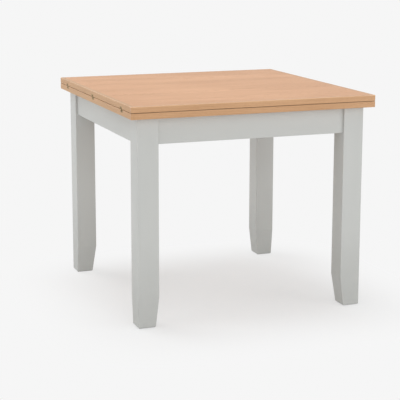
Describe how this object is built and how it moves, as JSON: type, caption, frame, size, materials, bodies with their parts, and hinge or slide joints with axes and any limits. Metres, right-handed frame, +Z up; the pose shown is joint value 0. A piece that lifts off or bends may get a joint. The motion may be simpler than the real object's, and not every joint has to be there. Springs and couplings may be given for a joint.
{
  "type": "swivel extending table",
  "caption": "Square dining table whose stacked top turns a quarter turn on an off-centre pivot and unfolds on edge hinges to twice its length, on a painted frame with tapered feet.",
  "frame": {"origin": "on the floor under the centre of the folded top", "axes": "+Z up, +X to the right along the front edge, +Y towards the back; the hinged edge of the folded top is at -X"},
  "size_m": [0.9, 0.9, 0.77],
  "materials": {
    "painted_frame": "satin grey paint on hardwood",
    "oak_veneer": "satin lacquered oak veneer",
    "oak_lipping": "satin lacquered solid oak",
    "plain_wood": "unfinished pale hardwood",
    "hinge_brass": "aged satin brass",
    "swivel_steel": "zinc plated steel",
    "zinc_fasteners": "bright zinc plating",
    "nylon": "natural nylon",
    "glide_plastic": "moulded glide",
    "buffer_felt": "self-adhesive felt dot"
  },
  "bodies": {
    "base": {"apron_back": "painted_frame", "apron_dowels": "plain_wood", "apron_front": "painted_frame", "apron_left": "painted_frame", "apron_right": "painted_frame", "base_plate_screws": "zinc_fasteners", "corner_block_back_left": "plain_wood", "corner_block_back_right": "plain_wood", "corner_block_front_left": "plain_wood", "corner_block_front_right": "plain_wood", "corner_block_screws": "zinc_fasteners", "foot_glides": "glide_plastic", "frame_glide_buttons": "nylon", "hanger_bolt_nuts": "zinc_fasteners", "hanger_bolt_washers": "zinc_fasteners", "hanger_bolts": "zinc_fasteners", "leg_back_left": "painted_frame", "leg_back_right": "painted_frame", "leg_front_left": "painted_frame", "leg_front_right": "painted_frame", "pivot_bush": "nylon", "pivot_rail": "plain_wood", "rail_cleat_back": "plain_wood", "rail_cleat_back_screws": "zinc_fasteners", "rail_cleat_front": "plain_wood", "rail_cleat_front_screws": "zinc_fasteners", "rail_glide_buttons": "nylon", "rail_screws": "zinc_fasteners", "support_rail": "plain_wood", "swivel_base_plate": "swivel_steel", "swivel_bearing_washer": "nylon"},
    "lower_leaf": {"lower_leaf_core": "oak_veneer", "lower_leaf_hinge_pins": "hinge_brass", "lower_leaf_hinge_plates": "hinge_brass", "lower_leaf_hinge_screws": "hinge_brass", "lower_leaf_lipping_back": "oak_lipping", "lower_leaf_lipping_front": "oak_lipping", "lower_leaf_lipping_hinge_side": "oak_lipping", "lower_leaf_lipping_right": "oak_lipping", "swivel_top_plate": "swivel_steel", "top_plate_screws": "zinc_fasteners", "swivel_stop_pin": "zinc_fasteners", "pivot_bolt": "zinc_fasteners", "pivot_washer": "zinc_fasteners", "pivot_lock_nut": "zinc_fasteners", "leaf_buffers": "buffer_felt"},
    "hinge_links": {"hinge_links": "hinge_brass"},
    "upper_leaf": {"upper_leaf_core": "oak_veneer", "upper_leaf_hinge_pins": "hinge_brass", "upper_leaf_hinge_plates": "hinge_brass", "upper_leaf_hinge_screws": "hinge_brass", "upper_leaf_lipping_back": "oak_lipping", "upper_leaf_lipping_front": "oak_lipping", "upper_leaf_lipping_hinge_side": "oak_lipping", "upper_leaf_lipping_right": "oak_lipping"}
  },
  "joints": [
    {"name": "top_swivel", "type": "hinge", "parent": "base", "child": "lower_leaf", "pos_m": [-0.225, 0.225, 0.7235], "axis": [0, 0, 1], "range_deg": [0, 90]},
    {"name": "link_fold", "type": "hinge", "parent": "lower_leaf", "child": "hinge_links", "pos_m": [-0.4472, 0, 0.7454], "axis": [0, -1, 0], "range_deg": [0, 90]},
    {"name": "leaf_fold", "type": "hinge", "parent": "hinge_links", "child": "upper_leaf", "pos_m": [-0.4472, 0, 0.7516], "axis": [0, -1, 0], "range_deg": [0, 90]}
  ]
}
